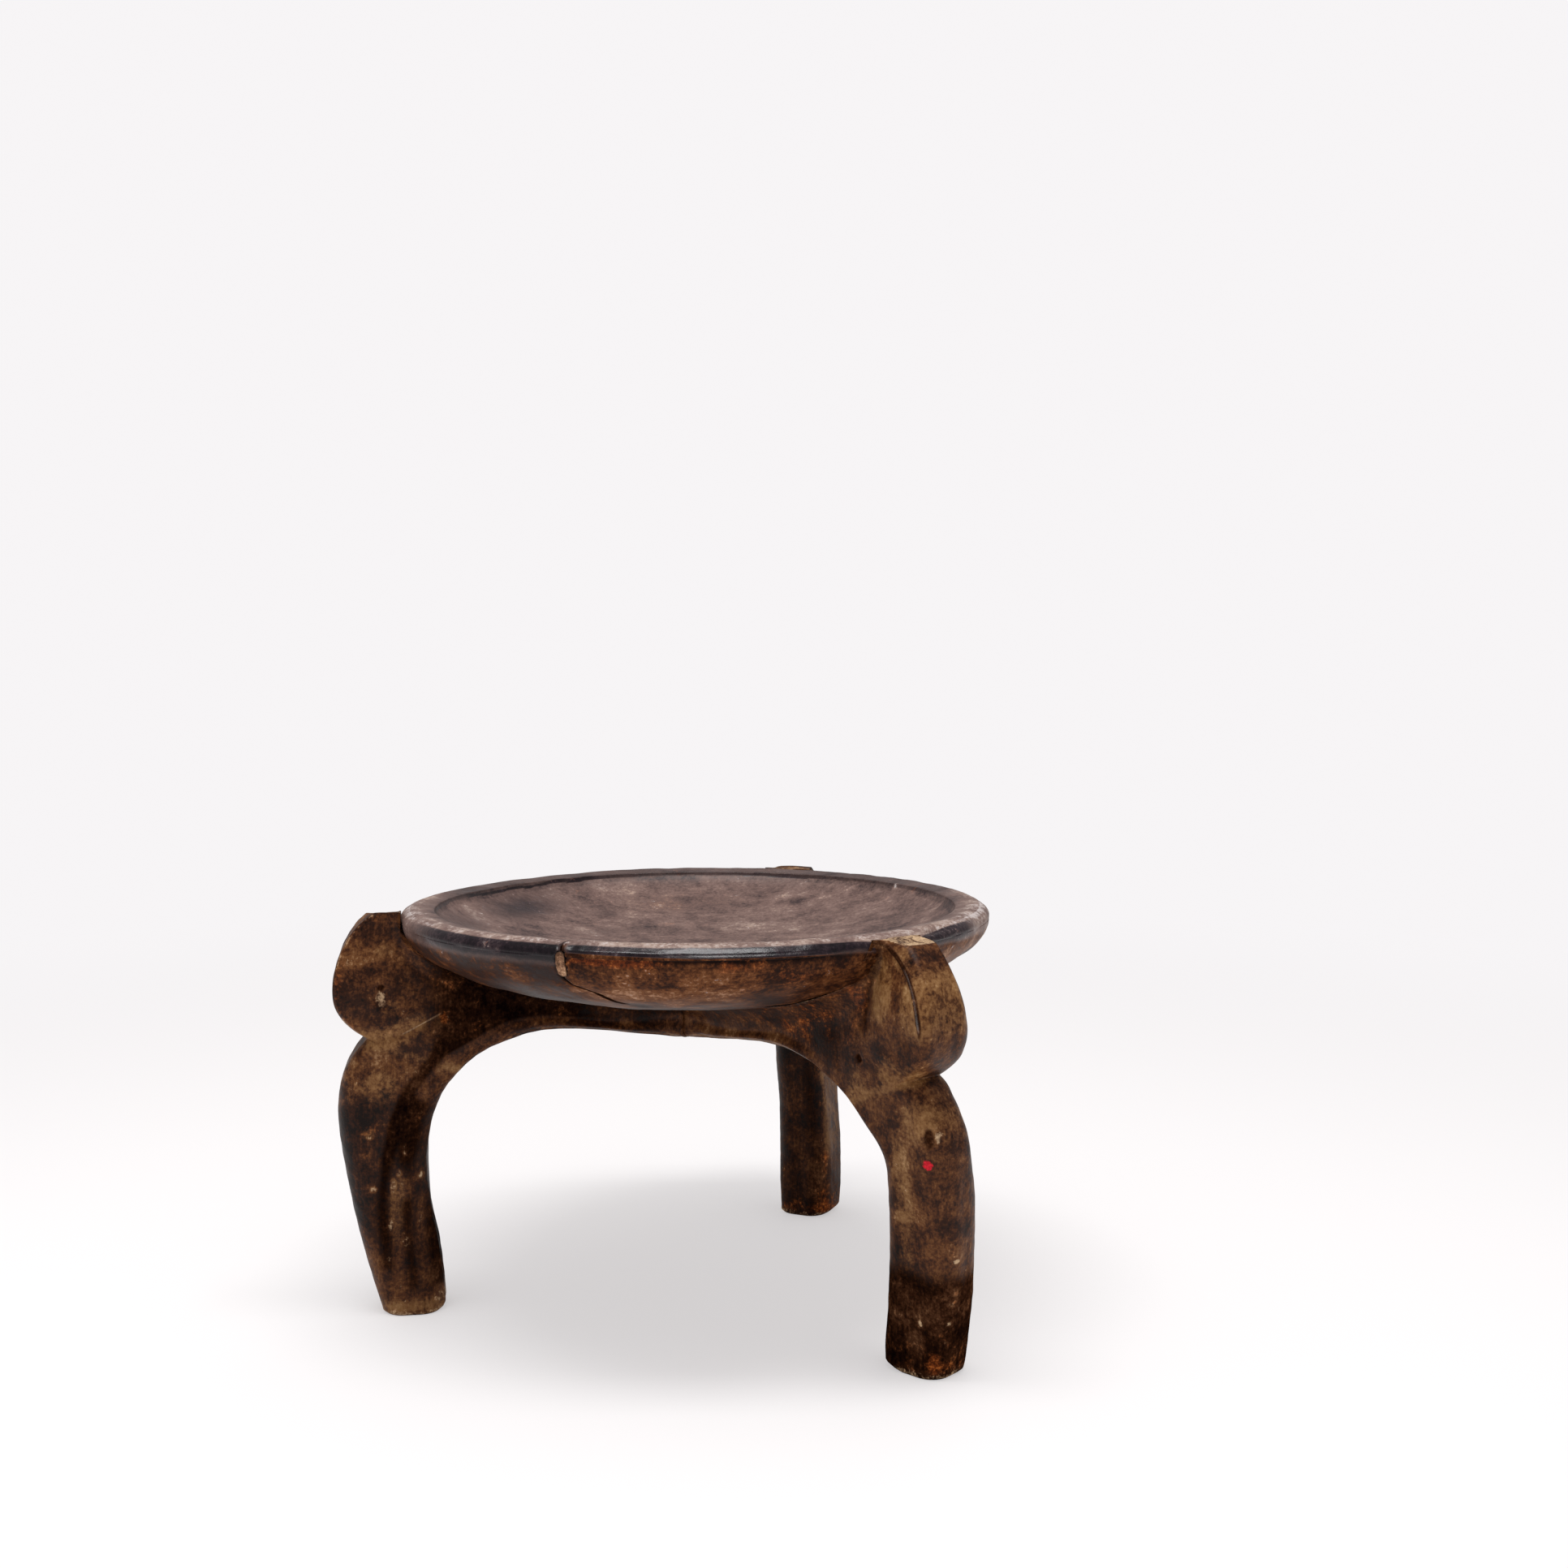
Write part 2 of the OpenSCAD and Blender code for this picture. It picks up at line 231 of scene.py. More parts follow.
def dish_wear(at):
    """The seat's marks and its one fine line, the split, each a sum of bells and eased steps over the
    bearing, the reach and the height. Nothing of a line shows FAR millimetres from it."""
    r, z, deg, tilt = at.r, at.z, at.deg, at.tilt
    outside, upper, below = at.outside, at.upper, at.below
    under_bead = below * at.bead
    # The outside is rubbed brown below the dark band, which has a sharp edge right of the split.
    low = STOOL_H - np.interp(deg, BAND_DEG, BAND_FALL) / 1000
    over = ease((z - low) / mix(0.0075, 0.0006, at.bead) + 0.5)
    crest = upper * (r > 0.1595) * ease((tilt - mix(54, 0, hump(deg, KNOB_DEG, 6) * upper)) / 12)
    band = outside * over * (1 - crest) * (1 - at.groove)
    band = band * (1 - 0.8 * ease((deg - 328) / 14)) * (1 - 0.85 * ease((226 - deg) / 26))
    left = ease((SPLIT_DEG - deg) / 2) * ease((deg - 150) / 30)
    front = ease((0.5 - np.sin(at.a)) / 0.6)
    ends = np.maximum(hump(deg, LEFT_END, 24), hump(deg, RIGHT_END, 24))
    broken = hump(at.beside, 0.0006, 0.0026) * outside * (z > PLUG_HIGH - 0.003) * (z < STOOL_H - 0.0005)
    lip = ~outside & (r > LIP_R - 0.001)
    hollow = ~outside & (r < LIP_R)

    rub = outside * (1 - over) * (1 - 0.25 * left) + broken
    rub = rub + 0.30 * hollow * hump(deg, 95, 26) * hump(r, 0.120, 0.022)

    soot = band * (1 - broken) + 0.9 * (at.pocket > 0.05)
    soot = soot + lip * (1 - crest * front) * (0.26 + 0.22 * (1 - front))
    for patch_deg, patch_r, wide, long_, strength in HOLLOW_PATCHES:
        soot = soot + strength * hollow * hump(deg, patch_deg, wide) * hump(r, patch_r, long_)
    # Painted shadow: a dark line right below the bead's overhanging edge. The chip off the rim is darker too.
    soot = soot + 0.9 * under_bead * hump(z, low - 0.0006, 0.0008) + 0.5 * at.nick

    red = under_bead * hump(deg, 258, 8.5) * hump(z, low - 0.0035, 0.0030)
    red = red + 0.45 * below * hump(deg, 279, 5) * hump(z, low - 0.004, 0.004)
    red = red + 0.4 * below * hump(deg, 290, 6) * hump(z, 0.212, 0.006)

    # One bare fleck lies in the hollow. A painted sheen makes the lip paler towards its outer edge, most of
    # all along the crest of the rim and at both ends, and painted sheen lightens the underside at the right
    # end and a strip along the bottom of the bowl.
    fleck = hump(r * np.sin(at.a), 0.0868, 0.0016) * hump(r * np.cos(at.a), 0.1226, 0.0012)
    bare = 0.9 * ~outside * fleck + 0.35 * broken
    bare = bare + 0.5 * under_bead * hump(deg, 257, 6) * hump(z, low - 0.0018, 0.0010)
    pale = 0.19 * ease((r - 0.152) / 0.011) + 0.07 * crest * ease((tilt - 62) / 8) + 0.04 * ends
    bare = bare + front * upper * (r > LIP_R) * (1 - band) * ease((tilt - 46) / 12) * pale
    bare = bare + mix(0.20, 0.34, deg > 270) * outside * upper * (1 - band) * ends
    bare = bare + 0.16 * below * hump(deg, RIGHT_END, 20)
    bare = bare + 0.13 * below * hump(z, 0.2005, 0.0045) * hump(deg, 258, 26)

    deep = 0.13 * left + 0.08 * hump(deg, 306, 11) + 0.10 * ease((0.196 - z) / 0.015)
    # Painted shadow deepens the tone below the bead's overhanging edge, and the split's groove is deeper in
    # tone.
    deep = below * (1 - over) * deep + at.groove + 0.35 * under_bead * hump(z, low - 0.0008, 0.0020)
    deep = deep + 0.10 * (upper & (r > LIP_R - 0.003)) * (1 - ease((r - 0.150) / 0.007))

    # The split gapes under the bowl, where its line is drawn up to four times as thick.
    thick = np.where(upper, 1, mix(4.2, 2.0, ease((r - 0.152) / 0.008)))
    drawn = (1 - at.pocket) * hump(at.across, 0, 0.006) * ease((r - np.where(upper, 0.157, 0.1305)) / 0.003)
    lines = np.stack([1000 * at.across / thick, 0 * r + FAR, 0 * r + FAR, drawn], -1)
    return np.stack([rub, soot, red, bare * (1 - at.groove) - deep], -1), lines


def add(tree, kind, settings=None, **inputs):
    """A node of that kind in the tree. Settings are its own options. Inputs are numbers, or sockets to
    link, by the input's name, or by its number after an i."""
    made = tree.nodes.new("ShaderNode" + kind)
    for key, value in (settings or {}).items():
        setattr(made, key, value)
    for key, value in inputs.items():
        by_number = key[0] == "i" and key[1:].isdigit()
        socket = made.inputs[int(key[1:]) if by_number else key.replace("_", " ")]
        if isinstance(value, bpy.types.NodeSocket):
            tree.links.new(value, socket)
        else:
            socket.default_value = value
    return made


def reckon(tree, operation, *values):
    """One arithmetic step on sockets and numbers."""
    inputs = {"i%d" % k: value for k, value in enumerate(values)}
    return add(tree, "Math", {"operation": operation}, **inputs).outputs[0]


def sums(tree, *terms):
    """The sum of the terms: sockets, (socket, number) pairs to multiply first, and plain numbers."""
    total = None
    for term in terms:
        if isinstance(term, tuple):
            term = reckon(tree, "MULTIPLY", *term)
        total = term if total is None else reckon(tree, "ADD", total, term)
    return total


def noise(tree, place, scale, detail=4.0, rough=0.6, twist=0.0):
    """Cloud noise at a place, that many to the metre."""
    made = add(tree, "TexNoise", None, Vector=place, Scale=scale, Detail=detail, Roughness=rough,
               Distortion=twist)
    return made.outputs["Fac"]


def step(tree, value, low, high, to_low=0.0, to_high=1.0):
    """A value that goes from to_low to to_high, smoothly, as the socket goes from low to high."""
    made = add(tree, "MapRange", {"interpolation_type": "SMOOTHSTEP"}, Value=value, From_Min=low,
               From_Max=high, To_Min=to_low, To_Max=to_high)
    return made.outputs["Result"]


def tint(tree, value, stops):
    """A colour by the socket's value, between stops of (place, colour) in rising order."""
    ramp = add(tree, "ValToRGB", None, Fac=value)
    ramp.color_ramp.interpolation = "EASE"
    for place, colour in stops[2:]:
        ramp.color_ramp.elements.new(place)
    for element, (place, colour) in zip(ramp.color_ramp.elements, stops):
        element.position = place
        element.color = (*colour, 1)
    return ramp.outputs["Color"]


def blend(tree, share, below, above):
    """The colour above over the colour below, by its share."""
    return add(tree, "Mix", {"data_type": "RGBA"}, i0=share, i6=below, i7=above).outputs[2]


def between(tree, share, below, above):
    """The number above over the number below, by its share."""
    return add(tree, "Mix", {"data_type": "FLOAT"}, i0=share, i2=below, i3=above).outputs[0]


def clouds(tree, place, grain):
    """The wood's unevenness as five noises: long fibres and streaks along the grain, and blotches, mottling
    and specks that have no way of their own."""
    along_grain = add(tree, "Mapping", None, Vector=place, Scale=grain).outputs[0]
    return SimpleNamespace(fibre=noise(tree, along_grain, 650, 3, 0.7),
                           streak=noise(tree, along_grain, 150, 4, 0.65, 0.4),
                           blotch=noise(tree, place, 32, 3, 0.5, 0.6),
                           mottle=noise(tree, place, 95, 4, 0.6, 0.4),
                           speck=noise(tree, place, 480, 3, 0.7))


def fine_lines(tree, cloud):
    """Shares of a dark crack, a pale scratch and a glossy line, each where the distance from it is small."""
    read = add(tree, "Attribute", {"attribute_name": "lines"})
    drawn = read.outputs["Alpha"]
    distances = add(tree, "SeparateColor", None, Color=read.outputs["Color"]).outputs
    cracked, scratched, shiny = (reckon(tree, "ABSOLUTE", distance) for distance in distances)
    crack = step(tree, sums(tree, cracked, (cloud.mottle, 0.5)), 0.90, 0.60)
    scratch = step(tree, sums(tree, scratched, (cloud.mottle, 0.9), (cloud.speck, 0.6)), 1.45, 0.85, 0.0, 0.7)
    gleam = step(tree, shiny, 0.7, 0.3)
    return [reckon(tree, "MULTIPLY", share, drawn) for share in (crack, scratch, gleam)]


CRACK_DARK = (0.006, 0.002, 0.001, 1)
RUST = [(0.3, (0.04, 0.010, 0.004)), (0.55, (0.14, 0.030, 0.007)), (0.75, (0.34, 0.10, 0.022))]


def old_wood(name, tones, finish, bare, grain, contrast=1.0, fleck=0.1, relief_height=0.0006, lift=0.0):
    """Carved hardwood with an old patina from long handling. The sum of its clouds chooses a colour in three
    ranges of tones, each with its own gloss and roughness as its finish: plain, rubbed and dark, by the
    mesh's marks. The rubbed range also paints the light that the lower bevels catch, and the dark range
    stands for both soot and painted shade. The other marks redden the wood, and pale it in flecks of
    unpatinated wood and, in places, as a painted sheen, or deepen its tone where they are below 0. A mark
    above 0 lifts the tone by at most lift."""
    material = bpy.data.materials.new(name)
    material.use_nodes = True
    tree = material.node_tree
    shader = tree.nodes["Principled BSDF"]
    place = add(tree, "TexCoord").outputs["Object"]
    cloud = clouds(tree, place, grain)
    blotch, mottle, streak, fibre, speck = cloud.blotch, cloud.mottle, cloud.streak, cloud.fibre, cloud.speck
    marks = add(tree, "Attribute", {"attribute_name": "marks"})
    rub, soot, red = add(tree, "SeparateColor", None, Color=marks.outputs["Color"]).outputs
    tone_shift = marks.outputs["Alpha"]

    weights = (blotch, 0.85), (mottle, 0.8), (streak, 0.3), (fibre, 0.35), (speck, 0.8)
    uneven = [(socket, weight * contrast) for socket, weight in weights]
    tone = sums(tree, *uneven, 0.5 - 1.55 * contrast, reckon(tree, "MINIMUM", tone_shift, lift))
    worn_and_lit = step(tree, sums(tree, rub, (blotch, 0.6), (mottle, 0.5), (speck, 0.4), -0.75), 0.15, 0.85)
    dark = step(tree, sums(tree, soot, (mottle, 0.6), (streak, 0.5), (speck, 0.3), -0.7), 0.15, 0.85)
    rusty = step(tree, sums(tree, red, (mottle, 1.2), (streak, 0.6), (speck, 0.8), -1.3), 0.2, 0.75)
    plain, rubbed, sooty = (tint(tree, tone, stops) for stops in tones)
    colour = blend(tree, dark, blend(tree, worn_and_lit, plain, rubbed), sooty)
    colour = blend(tree, rusty, colour, tint(tree, sums(tree, (speck, 1.2), (mottle, 0.6), -0.4), RUST))

    # Bare wood shows in chips by the marks, which also paint a sheen in its pale colour, in fine flecks all
    # over, and along the scratches.
    crack, scratch, gleam = fine_lines(tree, cloud)
    chips = step(tree, sums(tree, tone_shift, (mottle, 0.9), (speck, 1.2), (fibre, 0.4), -1.3), 0.2, 0.65)
    patchy = add(tree, "Mapping", None, Vector=place, Scale=[g ** 0.35 for g in grain]).outputs[0]
    fine = sums(tree, noise(tree, patchy, 330, 3, 0.8, 0.5), (blotch, 0.25), (mottle, 0.25))
    flecks = step(tree, fine, 1.02 - fleck, 1.14 - fleck)
    flecks = reckon(tree, "MULTIPLY", flecks, step(tree, dark, 0.0, 1.0, 1.0, 0.25))
    pale = reckon(tree, "MAXIMUM", reckon(tree, "MAXIMUM", chips, flecks), scratch)
    colour = blend(tree, pale, colour, tint(tree, tone, bare))
    tree.links.new(blend(tree, crack, colour, CRACK_DARK), shader.inputs["Base Color"])

    (plain_gloss, plain_rough), (rubbed_gloss, rubbed_rough), (sooty_gloss, sooty_rough) = finish
    gloss = between(tree, dark, between(tree, worn_and_lit, plain_gloss, rubbed_gloss), sooty_gloss)
    rough = between(tree, dark, between(tree, worn_and_lit, plain_rough, rubbed_rough), sooty_rough)
    rough = sums(tree, rough, (speck, 0.2), (pale, 0.1), -0.1)
    for socket, level, in_crack, on_gleam in (("Specular IOR Level", gloss, 0.0, 1.0),
                                              ("Roughness", rough, 0.9, 0.25)):
        level = between(tree, gleam, between(tree, crack, level, in_crack), on_gleam)
        tree.links.new(level, shader.inputs[socket])
    relief = sums(tree, (fibre, 0.2), (mottle, 0.7), (speck, 0.7), (pale, -0.4), (crack, -0.4))
    bump = add(tree, "Bump", None, Strength=0.5, Distance=relief_height, Height=relief)
    tree.links.new(bump.outputs[0], shader.inputs["Normal"])
    return material


SEAT_TOP = [(0.15, (0.040, 0.023, 0.023)), (0.36, (0.098, 0.058, 0.050)), (0.50, (0.140, 0.084, 0.071)),
            (0.66, (0.182, 0.114, 0.096)), (0.88, (0.32, 0.23, 0.19))]
SEAT_OUTSIDE = [(0.15, (0.008, 0.002, 0.001)), (0.36, (0.023, 0.0062, 0.002)),
                (0.50, (0.071, 0.0215, 0.0062)), (0.66, (0.145, 0.052, 0.017)), (0.88, (0.34, 0.18, 0.10))]
SEAT_BAND = [(0.15, (0.003, 0.002, 0.003)), (0.36, (0.008, 0.005, 0.007)), (0.50, (0.014, 0.008, 0.011)),
             (0.66, (0.032, 0.020, 0.023)), (0.88, (0.11, 0.08, 0.08))]
SEAT_BARE_AND_SHEEN = [(0.3, (0.22, 0.175, 0.17)), (0.7, (0.46, 0.40, 0.385))]
SEAT_FINISH = (0.30, 0.48), (0.08, 0.45), (0.25, 0.20)
seat_wood = old_wood("seat_wood", (SEAT_TOP, SEAT_OUTSIDE, SEAT_BAND), SEAT_FINISH, SEAT_BARE_AND_SHEEN,
                     grain=(0.10, 1, 1), fleck=0.09, relief_height=0.00025, lift=0.22)

dish = dish_shape()
dish_grid = np.stack([SEAT_X + dish.r * np.cos(dish.a), SEAT_Y + dish.r * np.sin(dish.a), dish.z], -1)
seat = skin("seat_dish_carved", dish_grid, *dish_wear(dish))
seat.data.materials.append(seat_wood)
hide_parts("seat_dish")
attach(seat, "root")


# The plug in the rim
# The split was stopped at the rim's face with a pale filler, pressed in by hand and left rough. It sits a
# little below the dark wood around it.

PLUG_SUNK, PLUG_DEPTH = 0.0004, 0.006
PLUG_TONES = [(0.2, (0.10, 0.045, 0.022)), (0.4, (0.26, 0.135, 0.075)), (0.6, (0.42, 0.24, 0.135)),
              (0.8, (0.62, 0.45, 0.33))]
PLUG_DARK = [(0.2, (0.02, 0.010, 0.006)), (0.8, (0.16, 0.08, 0.04))]
PLUG_BARE = [(0.3, (0.4, 0.3, 0.2)), (0.7, (0.8, 0.7, 0.6))]
FACE_RINGS, BACK_RINGS = 14, 5


def plug_points():
    """A slot with round ends, as rings round its outline that widen from the middle of its face, and then go
    straight back into the rim. The face lies under the rim's surface by a little and is dimpled."""
    turn = np.linspace(0, 2 * np.pi, 72, endpoint=False)[None]
    half = PLUG_W / 2 - 0.0002
    straight = (PLUG_HIGH - PLUG_LOW) / 2 - PLUG_W / 2
    size = np.concatenate([np.linspace(0.05, 1, FACE_RINGS), np.ones(BACK_RINGS)])[:, None]
    back = np.concatenate([np.zeros(FACE_RINGS), np.linspace(0.001, PLUG_DEPTH, BACK_RINGS)])[:, None]
    across = size * half * np.cos(turn)
    slot = half * np.sin(turn) + straight * np.clip(3 * np.sin(turn), -1, 1)
    z = (PLUG_HIGH + PLUG_LOW) / 2 + size * slot
    fall = np.clip((STOOL_H - z - RIM_EDGE) / (BOWL_DEPTH - RIM_EDGE), 0, 1)
    dimple = 0.00025 * ripple(across, z, 0 * z, 0.0022, 21) + 0.0004 * size ** 6
    reach = RIM_R * np.sqrt(1 - fall ** 2) - PLUG_SUNK - dimple - back
    a = np.radians(PLUG_DEG) + across / RIM_R
    return np.stack([SEAT_X + reach * np.cos(a), SEAT_Y + reach * np.sin(a), z], -1)


plug_wood = old_wood("plug_wood", (PLUG_TONES, PLUG_TONES, PLUG_DARK), ((0.2, 0.7), (0.2, 0.7), (0.1, 0.6)),
                     PLUG_BARE, grain=(1, 1, 1), contrast=1.5)
plug_grid = plug_points()[::-1]
plug_marks = np.zeros((*plug_grid.shape[:2], 4))
plug_marks[..., 1] = ease((np.arange(len(plug_grid))[::-1, None] - 10) / 4)
plug = skin("rim_plug_filler", plug_grid, plug_marks)
plug.data.materials.append(plug_wood)
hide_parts("rim_plug")
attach(plug, "root")


# The three legs
# Each leg is carved from the same block: a bowed shin on a flat worn sole, a knee, a notch, a round knob
# with a flat top beside the rim, and a rib that runs in under the bowl to meet the other two.

FOOT_OUT, FOOT_IN, FOOT_W = 0.179, 0.146, 0.036
KNEE_OUT, KNEE_Z, KNEE_W = 0.204, 0.117, 0.037
WAIST_IN, SPRING_Z = 0.157, 0.104
CROWN_R, RIB_DEPTH, RIB_SAG, RIB_W = 0.081, 0.0215, 0.0075, 0.036
NOTCH_OUT, NOTCH_Z, NOTCH_W = 0.188, 0.158, 0.0345
KNOB_OUT, KNOB_Z, KNOB_MID, KNOB_W = 0.2065, 0.185, 0.167, 0.0385
TOP_OUT, TOP_W, TOP_Z = 0.1875, 0.028, 0.226
FOOT_ROUND, KNEE_ROUND, ARCH_ROUND, RIB_ROUND = 0.012, 0.014, 0.0045, 0.004
SOLE_WEAR, FILLET, RIM_COVE, OVERLAP = 0.0015, 0.014, 0.006, 0.006
KNOB_A = KNOB_OUT - KNOB_MID
KNOB_LOW = np.degrees(np.arccos((NOTCH_OUT - KNOB_MID) / KNOB_A))
KNOB_HIGH = np.degrees(np.arccos((TOP_OUT - KNOB_MID) / KNOB_A))
KNOB_DOWN = (KNOB_Z - NOTCH_Z) / np.sin(np.radians(KNOB_LOW))
KNOB_UP = (TOP_Z - KNOB_Z) / np.sin(np.radians(KNOB_HIGH))
CROWN_Z = under_z(CROWN_R) - RIB_DEPTH
# Places along the leg: 0 at the sole, 1 at the knee, 2 at the notch, 3 above the knob, 4 under the middle.
WIDEST_AT = 2 + KNOB_LOW / (90 + KNOB_LOW)
TOP_AT = 2 + (KNOB_LOW + KNOB_HIGH) / (90 + KNOB_LOW)


def along(u, places, values):
    """A value that eases from key to key along the leg, level beyond both ends."""
    places, values = np.array(places), np.array(values)
    k = np.clip(np.searchsorted(places, u) - 1, 0, len(places) - 2)
    return mix(values[k], values[k + 1], ease((u - places[k]) / (places[k + 1] - places[k])))


def inner_line(u, spread):
    """Reach and height of the inner side: shin, a quarter ellipse for the arch, and the rib's lower edge."""
    turn = np.radians(np.where(u < 2, 40 * (u - 1), mix(40, 90, u - 2)))
    reach = np.where(u < 1, mix(FOOT_IN + spread, WAIST_IN, ease(u)), mix(CROWN_R, WAIST_IN, np.cos(turn)))
    height = np.where(u < 1, SPRING_Z * u, mix(SPRING_Z, CROWN_Z, np.sin(turn)))
    rib = CROWN_R * (4 - u), CROWN_Z - RIB_SAG * ease(u - 3)
    return np.where(u < 3, reach, rib[0]), np.where(u < 3, height, rib[1])


def outer_line(u, spread):
    """Reach and height of the outer side: a shin that bulges to the knee, the roll into the notch, the knob
    as two quarter ellipses, and the rib's hidden top just inside the bowl."""
    shin, roll = np.clip(u, 0, 1), np.clip(u - 1, 0, 1)
    bulge = mix(FOOT_OUT + spread, KNEE_OUT, 1 - (1 - shin) ** 1.5)
    reach = np.where(u < 1, bulge, mix(KNEE_OUT, NOTCH_OUT, roll ** 2.4))
    height = np.where(u < 1, KNEE_Z * u, mix(KNEE_Z, NOTCH_Z, roll))
    turn = np.radians(mix(-KNOB_LOW, 90, np.clip(u - 2, 0, 1)))
    reach = np.where(u < 2, reach, KNOB_MID + KNOB_A * np.cos(turn))
    height = np.where(u < 2, height, KNOB_Z + np.where(turn < 0, KNOB_DOWN, KNOB_UP) * np.sin(turn))
    rib = KNOB_MID * (4 - u)
    drop = (KNOB_Z + KNOB_UP - under_z(KNOB_MID) - OVERLAP) * (1 - ease((u - 3) / 0.5))
    return np.where(u <= 3, reach, rib), np.where(u <= 3, height, under_z(rib) + OVERLAP + drop)


def leg_grid():
    """Places u up the leg as a column. As rows, round each ring: the share from the inner to the outer line,
    the lean across the leg, and the way the skin faces, with points a little closer at the corners' ends."""
    u = np.concatenate([[0], np.linspace(SOLE_WEAR / KNEE_Z, 1, 112)[:-1], np.linspace(1, 2, 74)[:-1],
                        np.linspace(2, 3, 130)[:-1], np.linspace(3, 4.12, 84)])[:, None]
    even = np.linspace(0, 1, 15)
    corner = np.pi / 2 * mix(even, 0.5 - 0.5 * np.cos(np.pi * even), 0.6)
    even = np.linspace(0, 1, 44)
    flat = mix(even, 0.5 - 0.5 * np.cos(np.pi * even), 0.7)[1:-1]
    wide = np.linspace(1, -1, 18)[1:-1]
    one, many, few = np.ones(15), np.ones(42), np.ones(16)
    share = np.concatenate([one, 1 - flat, 0 * one, 0 * few, 0 * one, flat, one, few])[None]
    lean = np.concatenate([one, many, one, wide, -one, -many, -one, -wide])[None]
    turns = corner, many * np.pi / 2, corner + np.pi / 2, few * np.pi
    face = np.concatenate([*turns, *(turn + np.pi for turn in turns)])[None]
    return u, share, lean, face


def leg_section(u, share, lean, face, spread, slim, edges):
    """Each ring as a section with four rounded corners between the inner and the outer line. low is how far a
    point lies out from the inner line and t how far across the leg, and its reach and height follow. edge is
    its distance from the arris where a side meets the outer corner."""
    (inner_r, inner_z), (outer_r, outer_z) = inner_line(u, spread), outer_line(u, spread)
    length = np.hypot(outer_r - inner_r, outer_z - inner_z)
    way_r, way_z = (outer_r - inner_r) / length, (outer_z - inner_z) / length
    keys = [0, 1, 2, WIDEST_AT, TOP_AT, 4]
    half_in = (along(u, [0, 1, 4], [FOOT_W, KNEE_W, RIB_W]) - slim) / 2
    half_out = (along(u, keys, [FOOT_W, KNEE_W, NOTCH_W, KNOB_W, TOP_W, RIB_W]) - slim) / 2
    round_in = along(u, [0, 1, 2, 4], [FOOT_ROUND, KNEE_ROUND, ARCH_ROUND, ARCH_ROUND])
    ahead, behind = (along(u, keys, [FOOT_ROUND, KNEE_ROUND, *edge, RIB_ROUND]) for edge in edges)
    round_out = mix(behind, ahead, lean < 0)
    corner = mix(round_in, round_out, share) - np.where(u == 0, SOLE_WEAR, 0)
    low = mix(round_in, length - round_out, share) + corner * np.cos(face)
    t = lean * mix(half_in - round_in, half_out - round_out, share) + corner * np.sin(face)
    reach, height = inner_r + way_r * low, inner_z + way_z * low
    edge = np.hypot(low - length + round_out, np.abs(t) - half_out)
    return SimpleNamespace(u=u + 0 * low, share=share + 0 * low, face=face + 0 * low, low=low, t=t,
                           way_r=way_r, way_z=way_z, reach=reach, height=height, edge=edge)


